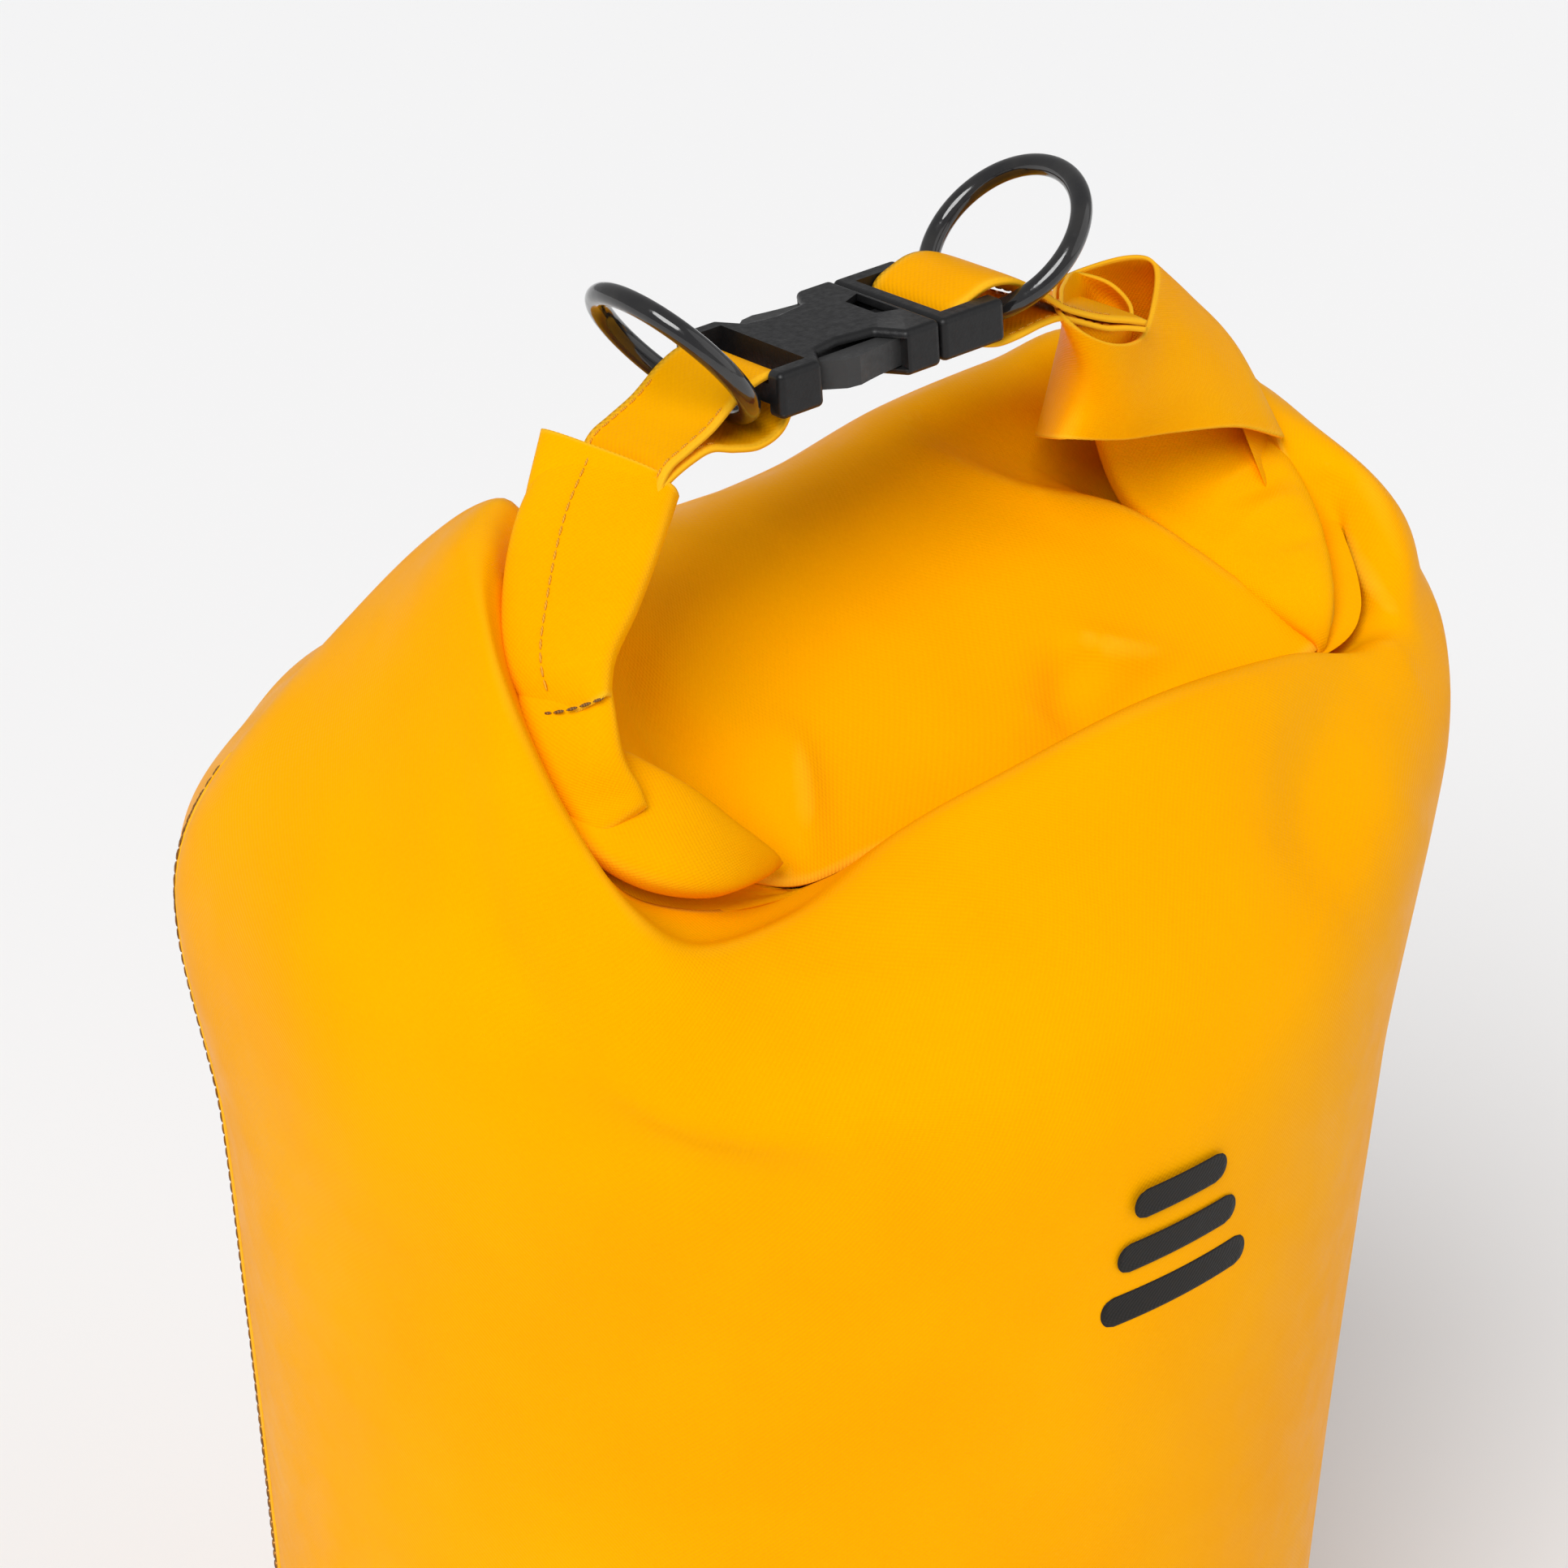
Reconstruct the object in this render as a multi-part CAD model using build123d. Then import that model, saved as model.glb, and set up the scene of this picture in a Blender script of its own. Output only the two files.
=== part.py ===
from build123d import *
import math
import os

# Roll-top dry bag, millimetres. Origin: centre of the base, +Z up, +X along the roll to the right,
# +Y to the back. The bag is closed: its mouth is rolled, the two roll ends stand up and are buckled.

# fabric body
BODY_R = 122.5
FABRIC = 1.0
SHOULDER_A = 138.0
SHOULDER_B = 106.0
SHOULDER_Z = 352.0
STRAIGHT_Z = 200.0
SWELL_Z = 285.0
SWELL_A = 128.0
SWELL_B = 117.0
TAPE_WIDTH = 22.0
TAPE_THICK = 0.6
FLAP_WIDTH = 17.0
FLAP_ANGLE = 160.0
FLAP_THICK = 0.8
FLAP_TOP = 340.0

# collar, above the side panel: height, half length, half depth and centre of each section
COLLAR_SECTIONS = [
    (SHOULDER_Z + 0.3, SHOULDER_A, SHOULDER_B, 0.0, 0.0),
    (363.0, 135.0, 99.0, 1.0, 2.0),
    (380.0, 123.0, 70.0, 3.0, 16.0),
    (401.0, 102.0, 40.0, 5.0, 31.0),
    (422.0, 62.0, 12.0, 8.0, 34.0),
]

# rolled mouth
ROLL_WIDTH = 30.0
ROLL_THICK = 11.0
ROLL_LEFT_X = -56.0
ROLL_RIGHT_X = 94.0
ROLL_Y = -45.0
ROLL_Z = 394.0
ROLL_TILT = 19.0
CORE_WIDTH = 22.0
CORE_THICK = 3.2
STIFFENER_WIDTH = 20.0
STIFFENER_THICK = 1.0
STIFFENER_GAP = 0.4
LEFT_ARM_FOOT = Vector(-67, -46, 399)
LEFT_ARM_END = Vector(-49, -17, 455)
RIGHT_ARM_FOOT = Vector(105, -43, 401)
RIGHT_ARM_END = Vector(81, -1, 450)
RIGHT_ARM_FOOT_WIDTH = 40.0

# buckle: its own frame has x from the female half to the male half, z out of the top face
BUCKLE_AT = Vector(18.1, -8.5, 465.3)
BUCKLE_YAW = 7.0
BUCKLE_RISE = -0.25
BUCKLE_ROLL = -6.2
BUCKLE_WIDTH = 34.0
BUCKLE_THICK = 9.4
PLATE = 1.5
FEMALE_LENGTH = 39.5
COLLAR_LENGTH = 8.5
MOUTH_HALF = 14.8
WINDOW_END = 28.5
CORE_HALF = 5.4
GUIDE_HALF = 1.8
TAIL_HALF = 16.5
BAR = 3.4
BAR_THICK = 4.0
SLOT_HALF = 12.9
SLOT_LENGTH = 5.6
MALE_LENGTH = 16.5
MALE_RAIL = 3.4
PRONG_THICK = 5.8
PRONG_LENGTH = 27.0
PRONG_INNER = 11.2
PRONG_ROOT = 13.9
PAD_HALF = 16.6
PRONG_SLOPE = 0.0085

# webbing straps and rings
STRAP_WIDTH = 25.0
STRAP_THICK = 1.1
BAR_CLEAR = 2.9
RING_R = 17.8
WIRE_R = 2.2
RING_ROOM = 6.0
RING_OFFSET = 2.6
RING_LEFT_AT = (-42.6, -3.8)
RING_LEFT_LEAN = 127.0
RING_RIGHT_AT = (19.8, -1.2)
RING_RIGHT_LEAN = 40.0
STITCH_LEFT = (-55, -5.8)
STITCH_RIGHT = (35, -4.2)
TAIL_LEFT = [(-64, -8.5), (-69, -21)]
TAIL_RIGHT = [(47, -10.5), (61, -14), (66, -24)]

# print
MARK_X = 27.0
MARK_Z = 298.0
MARK_WIDTH = 30.0
MARK_BARS = 3
MARK_BAR_HEIGHT = 6.0
MARK_PITCH = 10.5
MARK_THICK = 0.15

os.makedirs("parts", exist_ok=True)


def buckle_plane():
    turn = Rot(0, 0, BUCKLE_YAW) * Rot(0, -BUCKLE_RISE, 0) * Rot(BUCKLE_ROLL, 0, 0)
    return Plane(Location(BUCKLE_AT) * turn)


BUCKLE = buckle_plane()


def save(name, solid):
    solid.label = name
    export_step(solid, f"parts/{name}.step")


def ellipse_at(z, half_length, half_depth, x=0.0, y=0.0):
    return Pos(x, y, z) * Ellipse(half_length, half_depth)


def body_loft(grow, top=SHOULDER_Z):
    """The outside of the side panel, grown outward by a distance: round below, oval at the shoulder."""
    sections = [
        ellipse_at(STRAIGHT_Z, BODY_R + grow, BODY_R + grow),
        ellipse_at(SWELL_Z, SWELL_A + grow, SWELL_B + grow),
        ellipse_at(top, SHOULDER_A + grow, SHOULDER_B + grow),
    ]
    return extrude(Circle(BODY_R + grow), STRAIGHT_Z) + loft(sections)


def side_panel():
    return body_loft(0) - body_loft(-FABRIC)


def base_panel():
    return extrude(Circle(BODY_R - FABRIC - 0.05), FABRIC)


def base_seam_tape():
    outer = BODY_R - FABRIC - 0.1
    band = Circle(outer) - Circle(outer - TAPE_THICK)
    return Pos(0, 0, FABRIC + 0.1) * extrude(band, TAPE_WIDTH)


def radial_wedge(angle, width, z_low, z_high):
    """A block that keeps only a strip of a shell, centred on one direction."""
    block = Pos(BODY_R * 1.1, 0, (z_low + z_high) / 2) * Box(BODY_R, width, z_high - z_low)
    return Rot(0, 0, angle) * block


def side_seam_flap():
    skin = body_loft(0.05 + FLAP_THICK) - body_loft(0.05)
    return skin & radial_wedge(FLAP_ANGLE, FLAP_WIDTH, 4, FLAP_TOP)


def side_seam_thread():
    low = 0.05 + FLAP_THICK
    skin = body_loft(low + 0.45) - body_loft(low + 0.05)
    rows = radial_wedge(FLAP_ANGLE - 2.8, 0.7, 6, FLAP_TOP - 2)
    rows += radial_wedge(FLAP_ANGLE + 2.8, 0.7, 6, FLAP_TOP - 2)
    return skin & rows


def collar_loft(shrink):
    return loft([ellipse_at(z, a - shrink, b - shrink, x, y) for z, a, b, x, y in COLLAR_SECTIONS])


def collar_panel():
    inside = collar_loft(FABRIC)
    ceiling = Pos(0, 0, COLLAR_SECTIONS[-1][0] - FABRIC + 50) * Box(400, 400, 100)
    return collar_loft(0) - (inside - ceiling)


def roll_plane(x):
    across = Vector(0, 1, 0).rotate(Axis.X, ROLL_TILT)
    return Plane(origin=(x, ROLL_Y, ROLL_Z), x_dir=across, z_dir=(1, 0, 0))


def roll_prism(width, thick, radius, x_low, x_high):
    section = RectangleRounded(width, thick, radius)
    return extrude(roll_plane(x_low) * section, x_high - x_low, dir=(1, 0, 0))


def roll_centre():
    outer = roll_prism(ROLL_WIDTH, ROLL_THICK, 5.2, ROLL_LEFT_X, ROLL_RIGHT_X)
    core = roll_prism(CORE_WIDTH, CORE_THICK, 1.2, ROLL_LEFT_X + 3, ROLL_RIGHT_X - 3)
    return outer - core


def mouth_stiffener(side):
    offset = side * (STIFFENER_THICK + STIFFENER_GAP) / 2
    section = Pos(0, offset) * Rectangle(STIFFENER_WIDTH, STIFFENER_THICK)
    start = ROLL_LEFT_X + 5
    return extrude(roll_plane(start) * section, ROLL_RIGHT_X - 5 - start, dir=(1, 0, 0))


def roll_arm(foot, end, foot_width, strap):
    """One end of the roll, standing up from the bag, with a pocket for the strap's tail."""
    axis = (end - foot).normalized()
    across = BUCKLE.y_dir
    low = Plane(origin=foot, x_dir=across, z_dir=axis) * RectangleRounded(foot_width, ROLL_THICK, 5.2)
    high = Plane(origin=end, x_dir=across, z_dir=axis) * RectangleRounded(ROLL_WIDTH, ROLL_THICK, 5.2)
    return loft([low, high]) - strap


def strap(bar_x, ring_at, stitch_at, tail_points):
    """Webbing as a loop over a bar and a ring, closed at the stitching, with its tail on to the roll end."""
    def hull(grow):
        stops = [((bar_x, 0), BAR_CLEAR), (ring_at, RING_ROOM), (stitch_at, 0.15)]
        rings = [Pos(*at) * Circle(radius + grow) for at, radius in stops]
        return make_hull([edge for ring in rings for edge in ring.edges()])

    face = hull(STRAP_THICK) - hull(0)
    for start, end in zip([stitch_at] + tail_points, tail_points):
        rod = make_hull([e for at in (start, end) for e in (Pos(*at) * Circle(STRAP_THICK)).edges()])
        face = face + (rod - hull(0))
    flat = extrude(face, STRAP_WIDTH / 2, both=True)
    return BUCKLE * (Rot(90, 0, 0) * flat)


def ring(axis_at, lean):
    """A round ring standing in its strap loop, leaning away from the buckle."""
    along = (math.cos(math.radians(lean)), math.sin(math.radians(lean)))
    reach = RING_R - RING_OFFSET
    centre = (axis_at[0] + along[0] * reach, 0, axis_at[1] + along[1] * reach)
    return BUCKLE * (Pos(*centre) * (Rot(0, -lean, 0) * Torus(RING_R, WIRE_R)))


def rounded(outline, height, edge):
    block = extrude(outline, height / 2, both=True)
    rims = block.faces().sort_by(Axis.Z)[0].edges() + block.faces().sort_by(Axis.Z)[-1].edges()
    return fillet(rims, edge)


def female_outline():
    upper = [(0, 17), (-COLLAR_LENGTH, 17), (-12, 11), (-20, 9.6), (-26, 10.8), (-29.5, TAIL_HALF)]
    upper += [(-FEMALE_LENGTH, TAIL_HALF)]
    lower = [(x, -y) for x, y in reversed(upper)]
    face = make_face(Polyline(*upper, *lower, close=True))
    return fillet(face.vertices(), 1.4)


def strap_slot(x_low, x_high):
    return Pos((x_low + x_high) / 2, 0) * Box(x_high - x_low, 2 * SLOT_HALF, 40)


def buckle_female():
    inner = BUCKLE_THICK - 2 * PLATE
    body = rounded(female_outline(), BUCKLE_THICK, 1.3)
    body -= Pos(-COLLAR_LENGTH / 2, 0) * Box(COLLAR_LENGTH + 0.1, 2 * MOUTH_HALF, inner)
    chamber = WINDOW_END - COLLAR_LENGTH
    throat = Pos(-COLLAR_LENGTH - chamber / 2, 0) * Box(chamber + 0.1, 60, inner)
    core = Pos(-COLLAR_LENGTH - 3 - chamber / 2, 0) * Box(chamber, 2 * CORE_HALF, inner)
    guide = Pos(-WINDOW_END / 2, 0) * Box(WINDOW_END - 1, 2 * GUIDE_HALF + 0.8, PRONG_THICK)
    body -= throat - core
    body -= guide
    bar_end = -FEMALE_LENGTH + BAR
    body -= strap_slot(bar_end, bar_end + SLOT_LENGTH)
    for side in (1, -1):
        body -= Pos(-FEMALE_LENGTH + BAR / 2, 0, side * (BAR_THICK / 2 + 10)) * Box(BAR + 2, 2 * SLOT_HALF, 20)
    window = Polyline((-1.6, 6.5), (-1.6, -6.5), (-6, -4.6), (-6, 4.6), close=True)
    body -= extrude(make_face(window), BUCKLE_THICK)
    return BUCKLE * body


def buckle_male():
    gap = 0.35
    block = Pos(gap + (MALE_LENGTH - gap) / 2, 0) * Rectangle(MALE_LENGTH - gap, BUCKLE_WIDTH)
    body = rounded(fillet(block.vertices(), 1.4), BUCKLE_THICK - 0.6, 1.2)
    slot_end = MALE_RAIL + SLOT_LENGTH
    body -= strap_slot(MALE_RAIL, slot_end)
    body -= strap_slot(slot_end + BAR, MALE_LENGTH + 5)
    for side in (1, -1):
        body -= Pos(slot_end + BAR / 2, 0, side * (BAR_THICK / 2 + 10)) * Box(BAR + 1, 2 * SLOT_HALF, 20)
    blade = Pos(gap - 12, 0) * Box(26, 2 * GUIDE_HALF, PRONG_THICK - 0.8)
    return BUCKLE * (body + blade)


def prong(side):
    """A springy arm of the male half: straight through the collar, then bulging to its thumb pad."""
    outer = [(-0.15, PRONG_ROOT), (-COLLAR_LENGTH, MOUTH_HALF - 0.25)]
    for behind in (3, 6, 9, 11.5):
        half = MOUTH_HALF - 0.25 + PRONG_SLOPE * behind * (COLLAR_LENGTH + behind)
        outer.append((-COLLAR_LENGTH - behind, min(half, PAD_HALF)))
    outer += [(-PRONG_LENGTH + 4, PAD_HALF - 0.6), (-PRONG_LENGTH, PRONG_INNER + 1.6)]
    inner = [(-PRONG_LENGTH, PRONG_INNER), (-0.15, PRONG_INNER)]
    face = make_face(Polyline(*outer, *inner, close=True))
    solid = extrude(face, PRONG_THICK / 2, both=True)
    if side < 0:
        solid = solid.mirror(Plane.XZ)
    return BUCKLE * solid


def printed_mark():
    low = 0.05
    shell = body_loft(low + MARK_THICK) - body_loft(low)
    bars = Part()
    for row in range(MARK_BARS):
        z = MARK_Z + (row - (MARK_BARS - 1) / 2) * MARK_PITCH
        width = MARK_WIDTH - row * 7
        bars += Pos(MARK_X, -BODY_R, z) * Box(width, 80, MARK_BAR_HEIGHT)
    return shell & bars


def main():
    left_strap = strap(-FEMALE_LENGTH + BAR / 2, RING_LEFT_AT, STITCH_LEFT, TAIL_LEFT)
    right_strap = strap(MALE_RAIL + SLOT_LENGTH + BAR / 2, RING_RIGHT_AT, STITCH_RIGHT, TAIL_RIGHT)
    save("side_panel", side_panel())
    save("base_panel", base_panel())
    save("base_seam_tape", base_seam_tape())
    save("side_seam_flap", side_seam_flap())
    save("side_seam_thread", side_seam_thread())
    save("collar_panel", collar_panel())
    save("roll_centre", roll_centre())
    save("mouth_stiffener_front", mouth_stiffener(-1))
    save("mouth_stiffener_back", mouth_stiffener(1))
    save("roll_left_arm", roll_arm(LEFT_ARM_FOOT, LEFT_ARM_END, ROLL_WIDTH, left_strap))
    save("roll_right_arm", roll_arm(RIGHT_ARM_FOOT, RIGHT_ARM_END, RIGHT_ARM_FOOT_WIDTH, right_strap))
    save("strap_left", left_strap)
    save("strap_right", right_strap)
    save("ring_left", ring(RING_LEFT_AT, RING_LEFT_LEAN))
    save("ring_right", ring(RING_RIGHT_AT, RING_RIGHT_LEAN))
    save("buckle_female", buckle_female())
    save("buckle_male", buckle_male())
    save("prong_far", prong(1))
    save("prong_near", prong(-1))
    save("printed_mark", printed_mark())


main()
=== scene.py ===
import bpy
import math
import numpy as np
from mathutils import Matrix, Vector


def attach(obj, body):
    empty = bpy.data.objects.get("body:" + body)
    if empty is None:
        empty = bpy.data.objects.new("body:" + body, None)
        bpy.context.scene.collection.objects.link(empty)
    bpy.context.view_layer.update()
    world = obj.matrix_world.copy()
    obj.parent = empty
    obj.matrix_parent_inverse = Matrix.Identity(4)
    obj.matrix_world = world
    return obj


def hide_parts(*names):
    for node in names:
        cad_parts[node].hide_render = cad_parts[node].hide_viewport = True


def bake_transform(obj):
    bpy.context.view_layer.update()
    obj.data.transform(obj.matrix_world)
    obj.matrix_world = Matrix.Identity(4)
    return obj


# The looks of a roll-top dry bag, in metres; MM turns the tables' millimetres into metres.
MM = 0.001
FABRIC = 0.8            # thickness of the coated cloth
LAP_CLOTH = 0.5         # what the side seam's lap adds to it
INK_FILM = 0.1
BOARD_THICK = 1.0
STRAP_WIDTH = 25.0
STRAP_THICK = 1.1

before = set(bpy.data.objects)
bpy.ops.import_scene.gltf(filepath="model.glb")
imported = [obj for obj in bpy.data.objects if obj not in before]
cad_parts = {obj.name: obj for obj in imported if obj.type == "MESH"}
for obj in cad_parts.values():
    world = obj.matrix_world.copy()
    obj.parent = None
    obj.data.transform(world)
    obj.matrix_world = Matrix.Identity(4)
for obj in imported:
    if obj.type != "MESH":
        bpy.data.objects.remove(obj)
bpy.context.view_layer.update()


# ---------------------------------------------------------------- curves and grids

def smooth_path(points, count):
    """Points along a smooth line through a few given points, evenly spaced by length."""
    p = np.asarray(points, float)
    step = np.linalg.norm(np.diff(p, axis=0), axis=1) ** 0.5
    knots = np.concatenate([[0], np.cumsum(np.maximum(step, 1e-6))])
    fine = spline(knots, p, np.linspace(0, knots[-1], count * 8))
    run = np.concatenate([[0], np.cumsum(np.linalg.norm(np.diff(fine, axis=0), axis=1))])
    want = np.linspace(0, run[-1], count)
    return np.stack([np.interp(want, run, fine[:, k]) for k in range(p.shape[1])], 1)


def spline(knots, values, at):
    """Catmull-Rom style cubic through values at uneven knots, with one-sided slopes at the ends."""
    n = len(knots)
    slope = np.zeros_like(values)
    for i in range(n):
        if i == 0:
            slope[i] = (values[1] - values[0]) / (knots[1] - knots[0])
        elif i == n - 1:
            slope[i] = (values[-1] - values[-2]) / (knots[-1] - knots[-2])
        else:
            a, b = knots[i] - knots[i - 1], knots[i + 1] - knots[i]
            before, after = (values[i] - values[i - 1]) / a, (values[i + 1] - values[i]) / b
            slope[i] = (before * b + after * a) / (a + b)
    i = np.clip(np.searchsorted(knots, at, side="right") - 1, 0, n - 2)
    h = (knots[i + 1] - knots[i])[:, None]
    t = ((at - knots[i]) / (knots[i + 1] - knots[i]))[:, None]
    a, b = values[i], values[i + 1]
    return (
        a * (1 + 2 * t) * (1 - t) ** 2 + slope[i] * h * t * (1 - t) ** 2
        + b * t * t * (3 - 2 * t) + slope[i + 1] * h * t * t * (t - 1)
    )


def ring_spline(knots, values, at, period):
    """The same cubic round a closed ring."""
    n = len(knots)
    k = np.concatenate([knots[-3:] - period, knots, knots[:3] + period])
    v = np.concatenate([values[-3:], values, values[:3]])
    return spline(k, v, at)


def grid_mesh(name, rows, closed=False, flip=False):
    """A smooth mesh from rows and columns of points in millimetres, with a UV that follows it in metres."""
    rows = np.asarray(rows, float) * MM
    count, width = rows.shape[:2]
    faces = []
    for i in range(count - 1):
        for j in range(width if closed else width - 1):
            k = (j + 1) % width
            face = (i * width + j, i * width + k, (i + 1) * width + k, (i + 1) * width + j)
            faces.append(face[::-1] if flip else face)
    mesh = bpy.data.meshes.new(name)
    mesh.from_pydata(rows.reshape(-1, 3).tolist(), [], faces)
    add_uv(mesh, rows, closed)
    mesh.update()
    for face in mesh.polygons:
        face.use_smooth = True
    piece = bpy.data.objects.new(name, mesh)
    bpy.context.scene.collection.objects.link(piece)
    return piece


def add_uv(mesh, rows, closed):
    """A UV in metres: across is measured along the middle row, up along the middle column."""
    count, width = rows.shape[:2]
    ring = rows[count // 2]
    if closed:
        ring = np.concatenate([ring, ring[:1]])
    across = np.concatenate([[0], np.cumsum(np.linalg.norm(np.diff(ring, axis=0), axis=1))])
    column = rows[:, width // 2]
    up = np.concatenate([[0], np.cumsum(np.linalg.norm(np.diff(column, axis=0), axis=1))])
    layer = mesh.uv_layers.new(name="cloth")
    loops = np.zeros(len(mesh.loops), dtype=int)
    mesh.loops.foreach_get("vertex_index", loops)
    row, col = loops // width, loops % width
    first = col.reshape(-1, 4)
    wraps = (first.max(axis=1) - first.min(axis=1) > 1).repeat(4) & (col == 0)
    uv = np.stack([across[np.where(wraps, width, col)], up[row]], 1)
    layer.data.foreach_set("uv", uv.ravel())


def thicken(piece, thickness, offset=-1.0):
    solid = piece.modifiers.new("thickness", "SOLIDIFY")
    solid.thickness = thickness * MM
    solid.offset = offset
    solid.use_even_offset = True


def finish_cloth(piece, body_name, material, thickness=None):
    """Gives a cloth piece its thickness, its material and the body it rides on."""
    piece.data.materials.append(material)
    if thickness:
        thicken(piece, thickness)
    if body_name:
        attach(piece, body_name)


# ---------------------------------------------------------------- materials

def new_material(name, colour, roughness):
    material = bpy.data.materials.new(name)
    material.use_nodes = True
    shader = material.node_tree.nodes["Principled BSDF"]
    shader.inputs["Base Color"].default_value = (*colour, 1)
    shader.inputs["Roughness"].default_value = roughness
    return material, material.node_tree, shader


def add(tree, kind, **settings):
    """A new node with settings for its properties and, by input name, its inputs."""
    node = tree.nodes.new(kind)
    for key, value in settings.items():
        if hasattr(node, key):
            setattr(node, key, value)
        else:
            node.inputs[key.replace("_", " ")].default_value = value
    return node


def noise(tree, source, scale, detail=3.0, roughness=0.5):
    node = add(tree, "ShaderNodeTexNoise", Scale=scale, Detail=detail, Roughness=roughness)
    tree.links.new(source, node.inputs["Vector"])
    return node.outputs["Fac"]


def ranged(tree, value, low, high, start=0.0, end=1.0):
    node = add(tree, "ShaderNodeMapRange")
    for key, number in zip((1, 2, 3, 4), (start, end, low, high)):
        node.inputs[key].default_value = number
    tree.links.new(value, node.inputs[0])
    return node.outputs[0]


def math_node(tree, operation, a, b=None):
    node = add(tree, "ShaderNodeMath", operation=operation)
    for index, value in enumerate((a, b)):
        if value is None:
            continue
        if isinstance(value, (int, float)):
            node.inputs[index].default_value = value
        else:
            tree.links.new(value, node.inputs[index])
    return node.outputs[0]


def bump(tree, height, distance, strength=1.0, below=None):
    node = add(tree, "ShaderNodeBump", Distance=distance, Strength=strength)
    tree.links.new(height, node.inputs["Height"])
    if below is not None:
        tree.links.new(below, node.inputs["Normal"])
    return node.outputs["Normal"]


def tinted(tree, factor, first, second):
    """A colour that runs from the first to the second with the factor."""
    node = add(tree, "ShaderNodeMix", data_type="RGBA")
    tree.links.new(factor, node.inputs[0])
    node.inputs[6].default_value = (*first, 1)
    node.inputs[7].default_value = (*second, 1)
    return node.outputs[2]


def weave_height(tree, pitch):
    """The over-and-under of a plain weave, from the UV in metres."""
    coords = add(tree, "ShaderNodeTexCoord")
    split = add(tree, "ShaderNodeSeparateXYZ")
    tree.links.new(coords.outputs["UV"], split.inputs[0])
    waves = []
    for axis in (0, 1):
        turns = math_node(tree, "MULTIPLY", split.outputs[axis], 2 * math.pi / pitch)
        waves.append(math_node(tree, "SINE", turns))
    return math_node(tree, "MULTIPLY", *waves)


def coated_cloth(name, colour, shade, pitch, weave_depth, gloss=0.40):
    """Coated woven cloth: satin, its weave showing faintly, with soft patches and brighter worn folds."""
    material, tree, shader = new_material(name, colour, gloss)
    place = add(tree, "ShaderNodeTexCoord").outputs["Object"]
    patches = noise(tree, place, 16.0, 4.0, 0.55)
    specks = noise(tree, place, 1400.0, 2.0)
    broad, fine = math_node(tree, "MULTIPLY", patches, 0.75), math_node(tree, "MULTIPLY", specks, 0.25)
    mixed = math_node(tree, "ADD", broad, fine)
    soft = tinted(tree, ranged(tree, mixed, 0, 1, 0.35, 0.65), shade, colour)
    worn = ranged(tree, add(tree, "ShaderNodeNewGeometry").outputs["Pointiness"], 0, 0.55, 0.515, 0.56)
    blend = add(tree, "ShaderNodeMix", data_type="RGBA")
    tree.links.new(worn, blend.inputs[0])
    tree.links.new(soft, blend.inputs[6])
    blend.inputs[7].default_value = (1.0, 0.56, 0.03, 1)
    tree.links.new(blend.outputs[2], shader.inputs["Base Color"])
    rough = ranged(tree, noise(tree, place, 90.0, 4.0, 0.6), gloss - 0.07, gloss + 0.09, 0.3, 0.7)
    tree.links.new(rough, shader.inputs["Roughness"])
    crumple = bump(tree, noise(tree, place, 45.0, 3.0, 0.5), 0.0011, 0.30)
    grain = bump(tree, noise(tree, place, 2600.0, 2.0), 0.00004, 0.5, crumple)
    normal = bump(tree, weave_height(tree, pitch), weave_depth, 0.6, grain)
    tree.links.new(normal, shader.inputs["Normal"])
    shader.inputs["Specular IOR Level"].default_value = 0.03
    shader.inputs["Specular Tint"].default_value = (1.0, 0.6, 0.0, 1)
    return material


def moulded_plastic():
    """Near-black moulded plastic with a fine spark-eroded texture, and sharp edges made lighter by wear and
    a painted highlight.
    """
    material, tree, shader = new_material("moulded_plastic", (0.007, 0.007, 0.0075), 0.42)
    place = add(tree, "ShaderNodeTexCoord").outputs["Object"]
    # Painted highlight and wear: sharp edges, found by pointiness, are mixed towards a lighter grey.
    rubbed_and_highlit = ranged(tree, add(tree, "ShaderNodeNewGeometry").outputs["Pointiness"], 0, 1, 0.52, 0.62)
    shade = tinted(tree, rubbed_and_highlit, (0.007, 0.007, 0.0075), (0.035, 0.035, 0.035))
    tree.links.new(shade, shader.inputs["Base Color"])
    rough = ranged(tree, noise(tree, place, 700.0, 4.0, 0.6), 0.30, 0.52, 0.3, 0.7)
    tree.links.new(rough, shader.inputs["Roughness"])
    shader.inputs["Specular IOR Level"].default_value = 0.35
    pits = add(tree, "ShaderNodeTexVoronoi", Scale=1500.0)
    tree.links.new(place, pits.inputs["Vector"])
    wavy = bump(tree, noise(tree, place, 260.0, 2.0), 0.00012, 0.35)
    tree.links.new(bump(tree, pits.outputs["Distance"], 0.00005, 0.45, wavy), shader.inputs["Normal"])
    return material


def glossy_plastic():
    """The rings' smooth black plastic, with flow marks and a few scuffs."""
    material, tree, shader = new_material("glossy_plastic", (0.008, 0.008, 0.009), 0.14)
    place = add(tree, "ShaderNodeTexCoord").outputs["Object"]
    rough = ranged(tree, noise(tree, place, 420.0, 5.0, 0.7), 0.08, 0.34, 0.45, 0.75)
    tree.links.new(rough, shader.inputs["Roughness"])
    patch = ranged(tree, noise(tree, place, 120.0, 3.0), 0, 1, 0.4, 0.7)
    shade = tinted(tree, patch, (0.008, 0.008, 0.009), (0.02, 0.019, 0.018))
    tree.links.new(shade, shader.inputs["Base Color"])
    tree.links.new(bump(tree, noise(tree, place, 150.0, 3.0, 0.6), 0.0004, 0.35), shader.inputs["Normal"])
    shader.inputs["Coat Weight"].default_value = 0.5
    shader.inputs["Coat Roughness"].default_value = 0.06
    return material


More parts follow.
